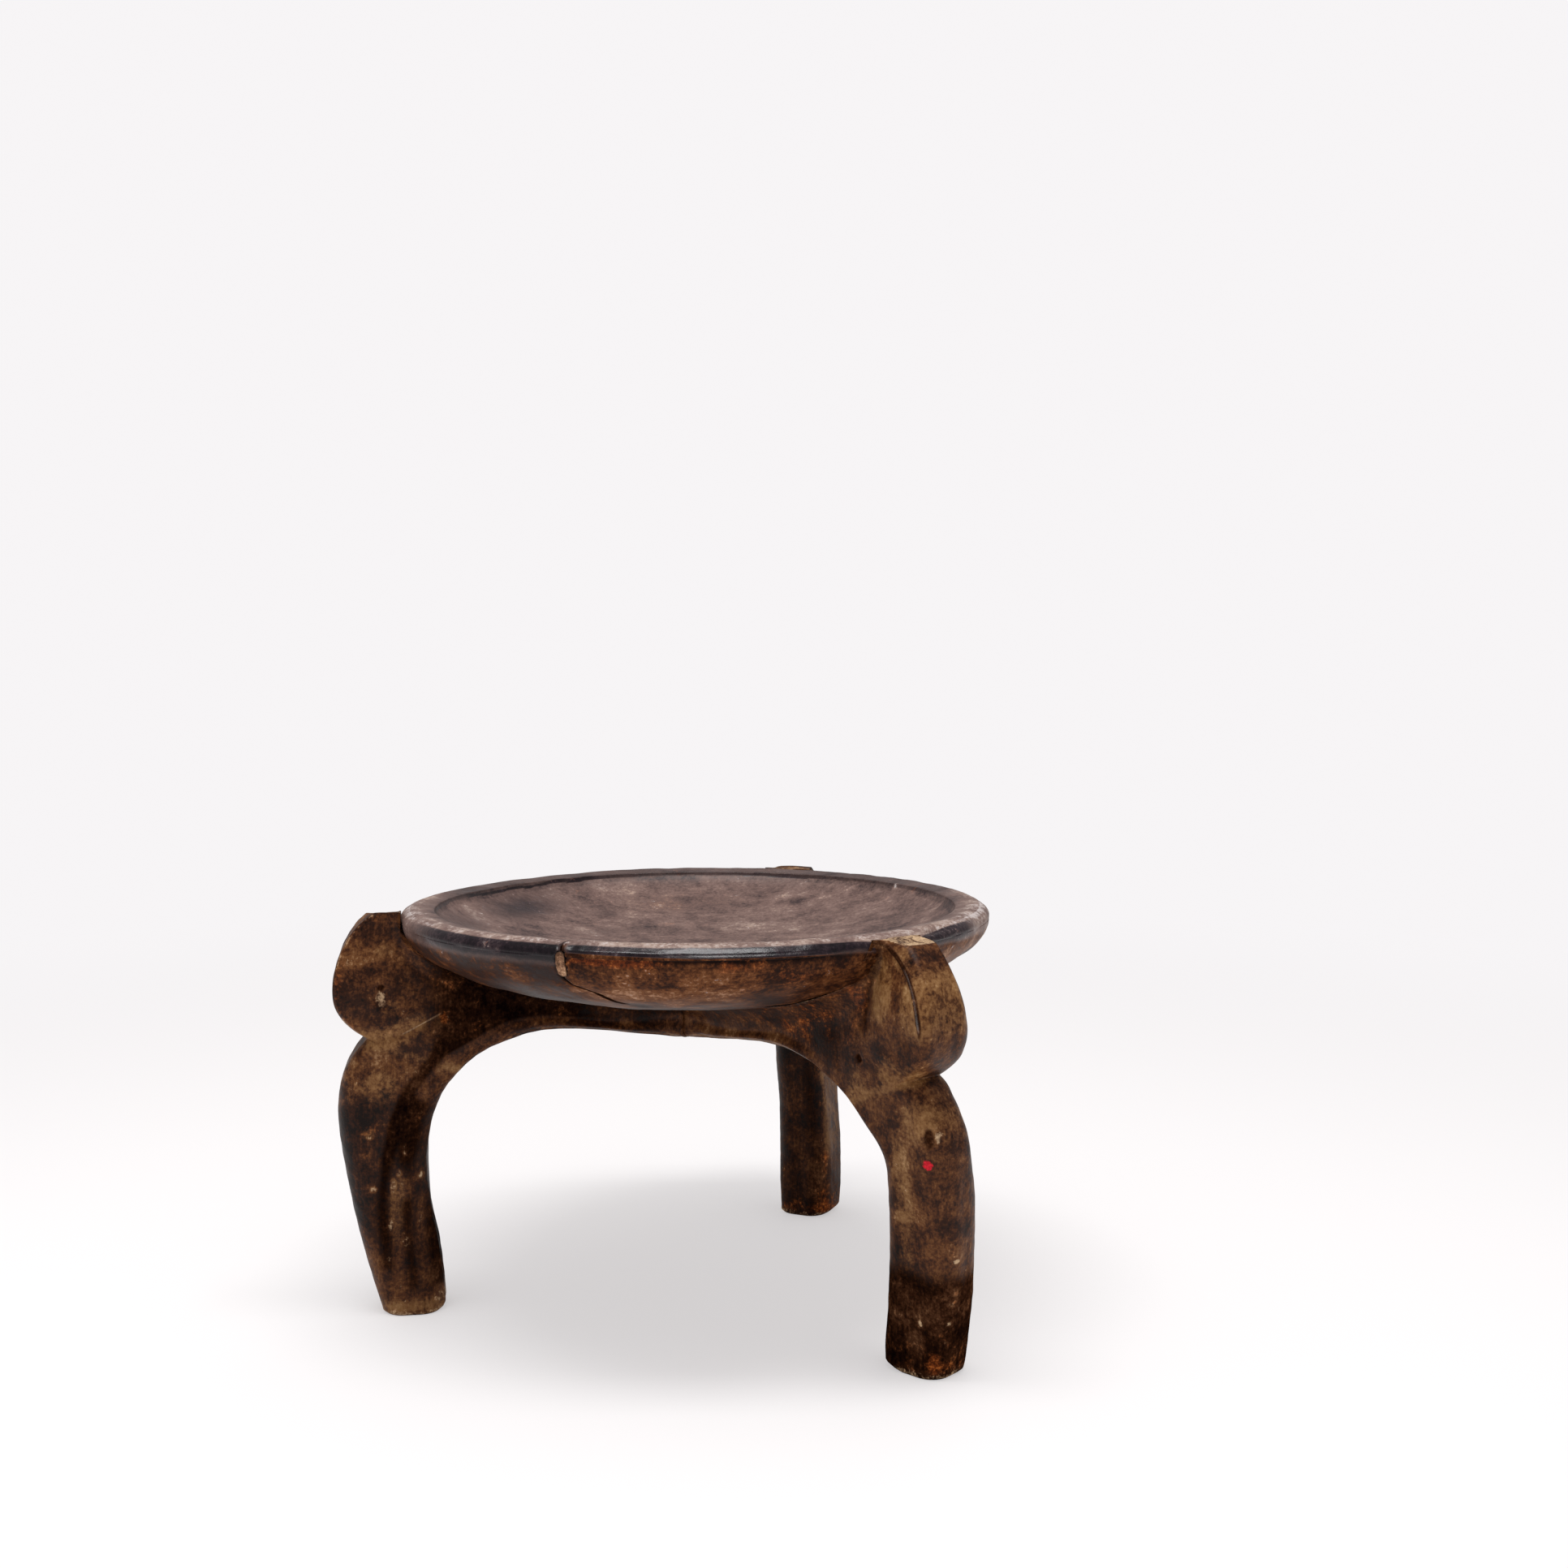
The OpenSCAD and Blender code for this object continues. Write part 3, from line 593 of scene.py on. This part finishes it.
def leg_points(turn, twist, spread, slim, before, after, edges, coves, lift, seed, carve):
    """One leg as rings from the sole to past the seat's middle, swung round the seat's axis by its bearing,
    which eases from the sole's to the knob's. carve adds how far each point stands out, and the marks on
    it. Gives the points, the marks and the fine lines."""
    u, share, lean, face = leg_grid()
    leg = leg_section(u, share, lean, face, spread, slim, edges)
    reach, height, t = leg.reach, leg.height, leg.t
    # How far a point is below the bowl or outside the rim, and how far from the neighbouring ribs' mitres.
    under = under_z(np.minimum(np.abs(reach), RIM_R))
    leg.gap = np.hypot(np.maximum(0, under - height), np.maximum(0, reach - RIM_R))
    half_turn = np.radians(np.abs(mix(after - turn, turn - before, t < 0)) / 2)
    mitre = reach * np.sin(half_turn) - np.abs(t) * np.cos(half_turn)
    rise = mix(lift[0], lift[1], ease((reach - 0.171) / 0.016)) + lift[2] * np.clip(t / 0.014, -1, 1)
    leg.top = ease((height - TOP_Z - rise + 0.0002) / 0.0006) * (u > 2.3)
    carve(leg)
    out = leg.out + 0.00035 * ripple(reach, height, t, 0.028, seed)
    out = out + 0.00012 * ripple(reach, height, t, 0.009, seed + 1)
    out = out * ease(u / 0.04)
    # The side flares out in a cove where it meets the bowl or the rim, and in a fillet where it meets the
    # next rib. Both are quarter circles, 1 - sqrt(1 - near²), by how near the point is.
    cove = mix(RIM_COVE, mix(coves[1], coves[0], t < 0), ease((0.166 - reach) / 0.03))
    near = 1 - np.clip(leg.gap / cove, 0, 1)
    out = out + 0.7 * cove * (1 - np.sqrt(1 - near ** 2)) * leg.flank
    near = (1 - np.clip(mitre / (FILLET * np.sin(half_turn)), 0, 1)) / np.tan(half_turn)
    out = out + FILLET * np.tan(half_turn) * (1 - np.sqrt(1 - near ** 2)) * leg.flank
    reach = reach + leg.way_r * np.cos(face) * out
    height = height + leg.way_z * np.cos(face) * out
    t = t + np.sin(face) * out
    # The bowl and the rim cut the leg off, a hair inside their surface, and the knob's top is cut flat.
    under = under_z(np.minimum(np.abs(reach), RIM_R)) + 0.0004
    tucked = (reach < RIM_R - 0.0003) & (height > under)
    rim = tucked & (height > STOOL_H - RIM_EDGE - 0.004)
    height = np.where(tucked & ~rim, under, height)
    reach = np.where(rim, RIM_R - 0.0003, reach)
    hewn = 0.0004 * ripple(reach, 0 * reach, t, 0.014, seed + 2)
    height = np.clip(height, 0, TOP_Z + rise + hewn - 0.0004)
    bearing = np.radians(turn + twist * (1 - ease(height / TOP_Z)))
    x = reach * np.cos(bearing) - t * np.sin(bearing)
    y = reach * np.sin(bearing) + t * np.cos(bearing)
    # The ribs are mitred against each other under the seat's middle.
    for other, sign in ((before, -1), (after, 1)):
        middle = np.radians(mix(turn, other, 0.5))
        past = np.maximum(0, sign * (y * np.cos(middle) - x * np.sin(middle)) - 0.0012)
        x, y = x + sign * past * np.sin(middle), y - sign * past * np.cos(middle)
    marks = np.stack([leg.rub, leg.soot, leg.red, leg.bare - leg.deep * (leg.bare < 0.2)], -1)
    return np.stack([SEAT_X + x, SEAT_Y + y, height], -1), marks, leg.lines


# A place on a leg's flank is (reach, height) in millimetres. A spot is a place, a radius in millimetres, a
# stretch upwards and a strength.

def near_line(leg, line):
    """Distance in metres to a line of corners, and the share of the way along it."""
    best, share = np.full(leg.reach.shape, 1.0), np.zeros(leg.reach.shape)
    line = np.array(line) / 1000
    for k, (a, b) in enumerate(zip(line[:-1], line[1:])):
        way = b - a
        s = np.clip(((leg.reach - a[0]) * way[0] + (leg.height - a[1]) * way[1]) / (way @ way), 0, 1)
        far = np.hypot(leg.reach - a[0] - s * way[0], leg.height - a[1] - s * way[1])
        share = np.where(far < best, (k + s) / (len(line) - 1), share)
        best = np.minimum(best, far)
    return best, share


def spots(leg, *places):
    """The sum of soft spots: strength times exp(-(distance / radius)⁴)."""
    total = 0
    for (reach, height), radius, stretch, strength in places:
        far = np.hypot(leg.reach - reach / 1000, (leg.height - height / 1000) / stretch)
        total = total + strength * np.exp(-(far * 1000 / radius) ** 4)
    return total


def scratch(leg, start, way, length, ease_in, ease_out):
    """A straight scratch from a start along a way, in metres: the distance from it in millimetres, and
    where it is drawn, which eases in and out at its ends."""
    across = (leg.reach - start[0]) * way[1] - (leg.height - start[1]) * way[0]
    run = (leg.reach - start[0]) * way[0] + (leg.height - start[1]) * way[1]
    return 1000 * across, ease(run / ease_in) * ease((length - run) / ease_out)


def carve_any(leg, creases, seen, shade, dry_top):
    """What all legs share. The rib's flank is hollowed above a rolled lower edge, a crease runs in from the
    notch, and the knob's flank swells. Painted shade darkens the rib's hollow flank under the bowl, and the
    wood is rubbed at the knee, below the knob and along the lower bevels, where the rubbed tone also paints
    the light they catch from the floor. Each is a bell or an eased step along the leg, round it, or by the
    distance from a line."""
    u, face, reach, height = leg.u, leg.face, leg.reach, leg.height
    leg.flank = np.sin(face) ** 2
    leg.front = (np.sin(face) * seen > 0.3) * leg.flank
    leg.shin = 1 - ease((u - 1.0) / 0.7)
    rib = ease((u - 2.3) / 0.5)
    leg.web = rib * leg.flank * ease((leg.low - 0.005) / 0.008)
    far, s = near_line(leg, creases)
    crease = leg.flank * (1 - ease((s - 0.6) / 0.4))
    out = -0.0018 * leg.web * ease((leg.gap - 0.003) / 0.008) * ease((0.180 - reach) / 0.02)
    out = out - 0.0011 * hump(far, 0, 0.003) * crease + 0.0007 * hump(far, 0.007, 0.004) * crease
    out = out + 0.0010 * hump(np.hypot(reach - 0.187, height - 0.186), 0, 0.018) * leg.flank
    # The arch and the rib have a narrow flat bevel along both lower corners.
    bevelled, corners = ease((u - 1.5) / 0.5), (0.75 * np.pi, 1.25 * np.pi)
    leg.out = out + bevelled * sum(facet(face, corner, ARCH_ROUND) for corner in corners)
    lit_bevels = bevelled * sum(hump(face, corner, 0.5) for corner in corners)
    # Painted shade on the rib's hollow flank under the bowl.
    web_shade = leg.flank * ease((u - 2) / 0.3) * ease((leg.low - 0.009) / 0.008) * ease((0.174 - reach) / 0.045)
    leg.rub = 0.8 * hump(far, 0, 0.006) * crease + 0.25 * hump(u, 1.3, 0.35) * ease(leg.share * 2)
    # The lower bevels are rubbed, and their pale tone also paints the light they catch from the floor.
    leg.rub += 0.5 * hump(u, 2, 0.08) + 0.55 * lit_bevels * rib + 0.4 * leg.top
    leg.soot = shade * web_shade + 0.2 * ease(1 - u / 0.9)
    leg.red = 0.15 * leg.flank * hump(reach, 0.156, 0.02) * hump(leg.gap, 0.010, 0.012)
    leg.red += 0.15 * hump(u, 0.05, 0.08)
    leg.bare = 0.4 * hump(height, 0.001, 0.003) + dry_top * leg.top
    leg.deep = 0.12 * shade * web_shade
    leg.lines = np.stack([0 * out + FAR, 0 * out + FAR, 0 * out + FAR, 0 * out], -1)


# Painted shade in bands down the left shin, along the turn from front to inner side: their line, half width,
# strength, and how much of it they lose at the end.
LEFT_SHADE_BANDS = [([(112, 171), (131, 160), (146, 151), (156, 139), (165, 128), (172, 110), (177, 90), (179, 64),
                (176, 30)], 0.0042, 1.0, 0.5),
              ([(158, 128), (163, 112), (165, 90), (164, 70)], 0.0075, 0.9, 0.9),
              ([(166, 70), (165, 50), (162, 18)], 0.0040, 0.55, 0.2),
              ([(148, 116), (152, 80), (151, 50), (148, 18)], 0.0040, 0.7, 0.1)]
LEFT_CHIPS = [((167, 95), 1.0, 3.6, 0.45), ((170, 82), 1.7, 1.2, 0.45), ((173, 74), 2.0, 2.4, 0.40),
              ((157, 78), 0.9, 2.0, 0.75), ((174, 52), 1.9, 2.2, 0.45), ((157, 54), 1.7, 2.2, 0.40),
              ((166, 43), 2.4, 2.4, 0.34), ((175, 33), 2.2, 1.6, 0.32), ((169, 17), 0.8, 2.8, 0.5),
              ((184, 73), 2.2, 0.8, 0.38), ((186, 103), 2.2, 0.7, 0.42), ((158, 20), 2.0, 1.2, 0.3)]
LEFT_RUBS = [((178.7, 209), 6, 1, 0.25), ((168, 162), 7, 1, 0.45), ((176, 176), 6, 1, 0.4),
             ((146, 168), 4, 1, 0.8), ((181, 131), 9, 1, 0.6), ((187, 105), 4, 1, 0.5)]


def carve_left(leg):
    """The left leg is fuller within at the knee and the sole, by a bell and an eased step in height. A
    broad flat is cut down the inner side of its shin, and its knob has a thin bevel round its outline and a
    chip."""
    shade = mix(0.55, 1.1, ease((leg.reach - 0.05) / 0.05))
    carve_any(leg, [(190, 158), (171, 160.5), (160, 166), (148, 172)], 1, shade, 0.2)
    u, face, height, front, shin = leg.u, leg.face, leg.height, leg.front, leg.shin
    full = hump(height, 0.120, 0.030) + 0.3 * ease((0.06 - height) / 0.05)
    leg.out += 0.0050 * np.clip(-np.cos(face), 0, 1) * full * ease((3 - u) / 0.6)
    leg.out += 0.8 * shin * facet(face, 0.75 * np.pi, mix(FOOT_ROUND, KNEE_ROUND, ease(u)), 38)
    leg.out += front * facet(face, 0.25 * np.pi, 0.0016) * (u > 2)
    leg.out -= front * spots(leg, ((180, 181.5), 3.2, 1.9, 0.0015))

    # Painted shade darkens the turn from the front to the inner side, band by band.
    for line, width, strength, loss in LEFT_SHADE_BANDS:
        far, s = near_line(leg, line)
        strength = strength * ease(s * 6) * (1 - loss * ease((s - 0.6) / 0.4))
        leg.soot += strength * hump(far, 0, width) * (np.sin(face) > -0.2)
    leg.soot += 0.15 * front * shin * ease((0.085 - height) / 0.03)
    leg.soot += front * spots(leg, ((180.2, 187), 1.8, 1, 1.5))
    leg.deep += shin * (mix(0.05, 0.16, ease((height - 0.03) / 0.05)) + 0.08 * hump(height, 0.080, 0.022))
    leg.deep += 0.06 * leg.flank * ease((u - 2) / 0.2)

    leg.rub += front * spots(leg, *LEFT_RUBS) + 0.8 * hump(height, 0.004, 0.005)
    leg.rub += spots(leg, ((171, 62), 5, 4.5, 0.5)) * (np.sin(face) > 0.2)
    leg.red += 0.4 * front * hump(leg.share, 1, 0.05) * hump(height, 0.185, 0.02)
    leg.red += front * spots(leg, ((146, 169), 4, 1, 0.3), ((186, 104), 7, 1, 0.2))

    # A painted highlight pales the thin bevel round the knob's outline.
    leg.bare += 0.32 * hump(face, 0.25 * np.pi, 0.4) * (u > 2.05) * (u < 3)
    leg.bare += spots(leg, *LEFT_CHIPS) * (np.sin(face) > 0.1)
    leg.bare += front * spots(leg, ((180, 180), 2.7, 1.9, 0.75), ((158, 190.5), 0.8, 1, 0.8),
                              ((157, 187.5), 0.7, 1, 0.8))
    leg.bare += spots(leg, ((146, 9), 4.5, 1, 0.4)) * (np.cos(face) < -0.4)

    # A scratch runs along the crease.
    leg.lines[..., 1], drawn = scratch(leg, (0.170, 0.1595), (-0.887, 0.462), 0.027, 0.004, 0.006)
    leg.lines[..., 3] = front * drawn


RIGHT_RUBS = [((172, 202), 8, 2.0, 1.2), ((176, 165), 6, 1, 0.4), ((199, 198), 12, 1.6, 0.7),
              ((190, 138), 10, 1, 0.6), ((175, 94), 8, 4.0, 0.45), ((172, 62), 6, 1.2, 0.5),
              ((150, 150), 8, 1.6, 0.5), ((186, 219), 6, 1, 0.6)]
RIGHT_CHIPS = [((200.3, 130.5), 0.8, 4.2, 0.8), ((192, 31), 0.8, 1, 0.9), ((198.5, 64.3), 1.0, 1, 0.9),
               ((179.4, 29.7), 1.8, 1, 0.6)]


def carve_right(leg):
    """The right shin spreads inwards to the sole. A sharp arris stands between the knob's side and a broad
    facet on its outer face, and a shallow valley runs down the side from the knob's top."""
    shade = mix(0.42, 0.55, ease((0.07 - leg.reach) / 0.06))
    carve_any(leg, [(196, 161), (188, 158.5), (180, 158.5), (170, 160.5), (155, 165)], -1, shade, 0.6)
    u, face, reach, height, front = leg.u, leg.face, leg.reach, leg.height, leg.front
    full = 0.0052 * ease((0.085 - height) / 0.08) - 0.0015 * hump(height, 0.112, 0.02)
    leg.out += np.clip(-np.cos(face), 0, 1) * full * ease((2.6 - u) / 0.6)
    arris = ease((height - 0.178) / 0.012) * (u < 3)
    ridge = arris * (np.sin(face) < 0)
    leg.out += facet(face, 1.65 * np.pi, along(u, [2, 2.4, 3], [0.003, 0.005, 0.008]), 27) * arris
    leg.out += 0.0007 * hump(leg.edge, 0, 0.0009) * ridge
    valley, _ = near_line(leg, [(170, 222), (167, 211), (159, 198), (158, 184)])
    leg.out -= 0.0014 * front * hump(valley, 0, 0.004)
    pit = front * spots(leg, ((154.5, 164.5), 1.7, 1.5, 1))
    nick = spots(leg, ((196.5, 129.5), 2.2, 2.2, 1)) * (np.sin(face) < -0.2)
    leg.out -= 0.0015 * pit + 0.0012 * nick

    # The foot is dark, and so is a smudge on the knob, and painted shade darkens the valley down the side.
    foot = ease((0.066 - height) / 0.018)
    smudge = np.hypot(reach - 0.190, height - 0.175)
    leg.soot = leg.soot * (1 - 0.4 * front * (reach > 0.14)) + 0.6 * front * hump(valley, 0, 0.0028)
    leg.soot += 1.3 * pit + 1.4 * nick + 0.8 * foot + 0.38 * hump(smudge, 0, 0.0095)
    leg.soot += 1.6 * hump(leg.edge, 0, 0.0012) * ridge
    leg.deep += 0.10 * foot + 0.13 * hump(smudge, 0, 0.011)
    leg.rub += spots(leg, *RIGHT_RUBS) * (np.sin(face) < 0.5)
    leg.bare += spots(leg, *RIGHT_CHIPS) * (np.sin(face) < -0.1)
    leg.red += spots(leg, ((184.8, 12), 4, 2.4, 0.3)) + 0.24 * leg.web * hump(reach, 0.110, 0.04)
    leg.red += front * spots(leg, ((154, 197), 4, 2.2, 0.25), ((147, 174), 4, 2.0, 0.25))

    # The arris gleams, and a thin scratch runs up beside the bowl.
    leg.lines[..., 2] = np.minimum(1000 * leg.edge, FAR)
    gleam = hump(leg.edge, 0, 0.004) * ridge * ease((0.216 - height) / 0.006) * ease((height - 0.184) / 0.004)
    leg.lines[..., 1], drawn = scratch(leg, (0.122, 0.1895), (0.924, 0.383), 0.038, 0.006, 0.008)
    leg.lines[..., 3] = np.maximum(gleam, front * (height > 0.17) * drawn)


def carve_rear(leg):
    """The rear shin is fuller on its right flank towards the foot, by an eased step in height. That flank
    is rubbed tan, and the rest is dark."""
    shade = mix(0.42, 0.55, ease((0.07 - leg.reach) / 0.06))
    carve_any(leg, [(190, 159), (172, 164), (152, 171)], -1, shade, 0.2)
    u, face, height = leg.u, leg.face, leg.height
    tan = hump(face, 1.44 * np.pi, 0.3)
    leg.out += 0.0035 * np.clip(-np.sin(face), 0, 1) * ease((0.10 - height) / 0.09) * (u < 2)
    leg.soot += 0.3 * (u < 2.5) + 0.2 * hump(face, 1.2 * np.pi, 0.4) * (u < 1.5)
    leg.rub += 0.7 * tan * (u < 1.6) * ease((height - 0.03) / 0.02)
    leg.red += 0.2 * hump(face, 1.35 * np.pi, 0.3) * (u < 1.6) + 0.16 * hump(height, 0.008, 0.008)
    leg.deep += mix(0.04, 0.17, ease((height - 0.02) / 0.06)) * (1 - 0.6 * tan)


LEG_PLAIN = [(0.15, (0.006, 0.002, 0.001)), (0.36, (0.027, 0.0075, 0.0025)), (0.50, (0.070, 0.0225, 0.007)),
             (0.66, (0.130, 0.050, 0.016)), (0.88, (0.28, 0.15, 0.07))]
LEG_RUBBED_AND_LIT = [(0.15, (0.020, 0.007, 0.003)), (0.36, (0.095, 0.035, 0.011)), (0.50, (0.178, 0.080, 0.027)),
              (0.66, (0.24, 0.122, 0.046)), (0.88, (0.36, 0.22, 0.10))]
LEG_SOOTY_AND_SHADED = [(0.15, (0.003, 0.001, 0.001)), (0.36, (0.011, 0.004, 0.002)), (0.50, (0.026, 0.009, 0.004)),
             (0.66, (0.060, 0.024, 0.011)), (0.88, (0.16, 0.08, 0.04))]
LEG_BARE_AND_SHEEN = [(0.3, (0.16, 0.09, 0.05)), (0.7, (0.50, 0.34, 0.20))]
LEG_FINISH = (0.12, 0.45), (0.14, 0.42), (0.0, 0.5)
leg_wood = old_wood("leg_wood", (LEG_PLAIN, LEG_RUBBED_AND_LIT, LEG_SOOTY_AND_SHADED), LEG_FINISH, LEG_BARE_AND_SHEEN, grain=(1, 1, 0.14),
                    contrast=1.05, fleck=0.075)

# A dab of red paint with a rough edge on the right shin.
DAB_AT = (0.1413, -0.1658, 0.1160)
DAB_RED = [(0.3, (0.36, 0.004, 0.012)), (0.7, (0.72, 0.012, 0.030))]
tree = leg_wood.node_tree
ground = tree.nodes["Principled BSDF"].inputs["Base Color"]
place = add(tree, "TexCoord").outputs["Object"]
away = add(tree, "VectorMath", {"operation": "DISTANCE"}, i0=place, i1=DAB_AT).outputs["Value"]
dab = step(tree, sums(tree, away, (noise(tree, place, 700), 0.0026)), 0.0043, 0.0035)
paint = tint(tree, noise(tree, place, 900), DAB_RED)
tree.links.new(blend(tree, dab, ground.links[0].from_socket, paint), ground)

# Each leg's bearing and its neighbours' in degrees, its twist down to the sole, how much its foot spreads
# and how slim it is, the corners of notch, knob and top on both sides, the coves, and the lift and slant of
# its top.
LEGS = {"leg_left": dict(turn=191.5, twist=-3, spread=0, slim=0, before=71, after=310,
                         edges=((0.006, 0.0016, 0.0016), (0.006, 0.0016, 0.0016)), coves=(0.012, 0.012),
                         lift=(0.0010, 0.0010, 0.0020), seed=30, carve=carve_left),
        "leg_right": dict(turn=310, twist=8, spread=0.0085, slim=0.004, before=191.5, after=431,
                          edges=((0.012, 0.0045, 0.008), (0.012, 0.009, 0.0025)), coves=(0.018, 0.012),
                          lift=(0.0018, 0, 0), seed=35, carve=carve_right),
        "leg_rear": dict(turn=71, twist=-4.5, spread=0.0065, slim=0.0035, before=-50, after=191.5,
                         edges=((0.008, 0.004, 0.003), (0.008, 0.004, 0.003)), coves=(0.012, 0.012),
                         lift=(0.0026, 0.0032, 0), seed=40, carve=carve_rear)}
for node, settings in LEGS.items():
    leg = skin(node + "_carved", *leg_points(**settings))
    leg.data.materials.append(leg_wood)
    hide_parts(node)
    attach(leg, "root")


# The floor, the light and the camera
# A plain pale studio floor that runs to the horizon, a broad and a narrow soft box overhead, and a pale room
# all round. The camera stands at the photograph's place, level, with its frame shifted down as it is cropped.

PALE = (0.93, 0.91, 0.92, 1)
FLOOR_PALE = (0.93, 0.91, 0.91, 1)
ROOM_WARM = (1, 0.98, 0.97, 1)
FLOOR_HALF = 30.0
# From the first distance to the second, the painted floor turns into the plain pale of the room.
FADE_FROM, FADE_TO = 0.25, 1.6
# How bright the room is as light on the stool, to the camera, and in the stool's gloss.
ROOM_LIGHT, ROOM_SEEN, ROOM_GLOSS = 0.72, 1.0, 0.34
scene = bpy.context.scene
floor_mesh = bpy.data.meshes.new("floor")
corners = [(x * FLOOR_HALF, y * FLOOR_HALF, 0) for x, y in ((-1, -1), (1, -1), (1, 1), (-1, 1))]
floor_mesh.from_pydata(corners, [], [(0, 1, 2, 3)])
floor = bpy.data.objects.new("floor", floor_mesh)
scene.collection.objects.link(floor)
floor_paint = bpy.data.materials.new("floor_paint")
floor_paint.use_nodes = True
tree = floor_paint.node_tree
matt = tree.nodes["Principled BSDF"]
matt.inputs["Base Color"].default_value = FLOOR_PALE
matt.inputs["Roughness"].default_value = 0.7
place = add(tree, "TexCoord").outputs["Object"]
away = add(tree, "VectorMath", {"operation": "LENGTH"}, i0=place).outputs["Value"]
glow = add(tree, "Emission", None, Color=PALE, Strength=ROOM_SEEN)
seen = add(tree, "LightPath").outputs["Is Camera Ray"]
share = reckon(tree, "MULTIPLY", step(tree, away, FADE_FROM, FADE_TO, 0.50, 1.0), seen)
surface = add(tree, "MixShader", None, i0=share, i1=matt.outputs[0], i2=glow.outputs[0])
tree.links.new(surface.outputs[0], tree.nodes["Material Output"].inputs["Surface"])
floor_mesh.materials.append(floor_paint)

world = bpy.data.worlds.new("room")
scene.world = world
world.use_nodes = True
tree = world.node_tree
rays = add(tree, "LightPath")
soft = add(tree, "Background", None, Color=ROOM_WARM, Strength=ROOM_LIGHT)
plain = add(tree, "Background", None, Color=PALE, Strength=ROOM_SEEN)
dim = add(tree, "Background", None, Color=PALE, Strength=ROOM_GLOSS)
room = add(tree, "MixShader", None, i0=rays.outputs["Is Glossy Ray"], i1=soft.outputs[0], i2=dim.outputs[0])
room = add(tree, "MixShader", None, i0=rays.outputs["Is Camera Ray"], i1=room.outputs[0], i2=plain.outputs[0])
tree.links.new(room.outputs[0], tree.nodes["World Output"].inputs["Surface"])

# Each lamp's width, depth, watts, place and tilt.
LAMPS = {"soft_box": (1.4, 1.1, 4, (-0.2, -0.3, 1.9), 0.15),
         "key_box": (1.1, 0.35, 17, (-0.02, -0.31, 1.7), 0.1)}
for name, (width, depth, watts, lamp_at, tilt) in LAMPS.items():
    lamp = bpy.data.lights.new(name, "AREA")
    lamp.shape = "RECTANGLE"
    lamp.size, lamp.size_y = width, depth
    lamp.energy = watts
    box = bpy.data.objects.new(name, lamp)
    box.location = lamp_at
    box.rotation_euler = (tilt, 0, 0)
    scene.collection.objects.link(box)

# The photograph's width, its focal length and the height of its horizon are in its own pixels.
PHOTO_PX, FOCAL_PX, HORIZON_PX = 1932, 2200, 811
SENSOR_MM = 36
CAMERA_AT = (0.0691, -1.0629, 0.3709)
lens = bpy.data.cameras.new("camera")
lens.sensor_width = SENSOR_MM
lens.lens = FOCAL_PX / PHOTO_PX * SENSOR_MM
lens.shift_y = (HORIZON_PX - PHOTO_PX / 2) / PHOTO_PX
camera = bpy.data.objects.new("camera", lens)
camera.location = CAMERA_AT
camera.rotation_euler = (np.pi / 2, 0, 0)
scene.collection.objects.link(camera)
scene.camera = camera
scene.view_settings.view_transform = "Standard"
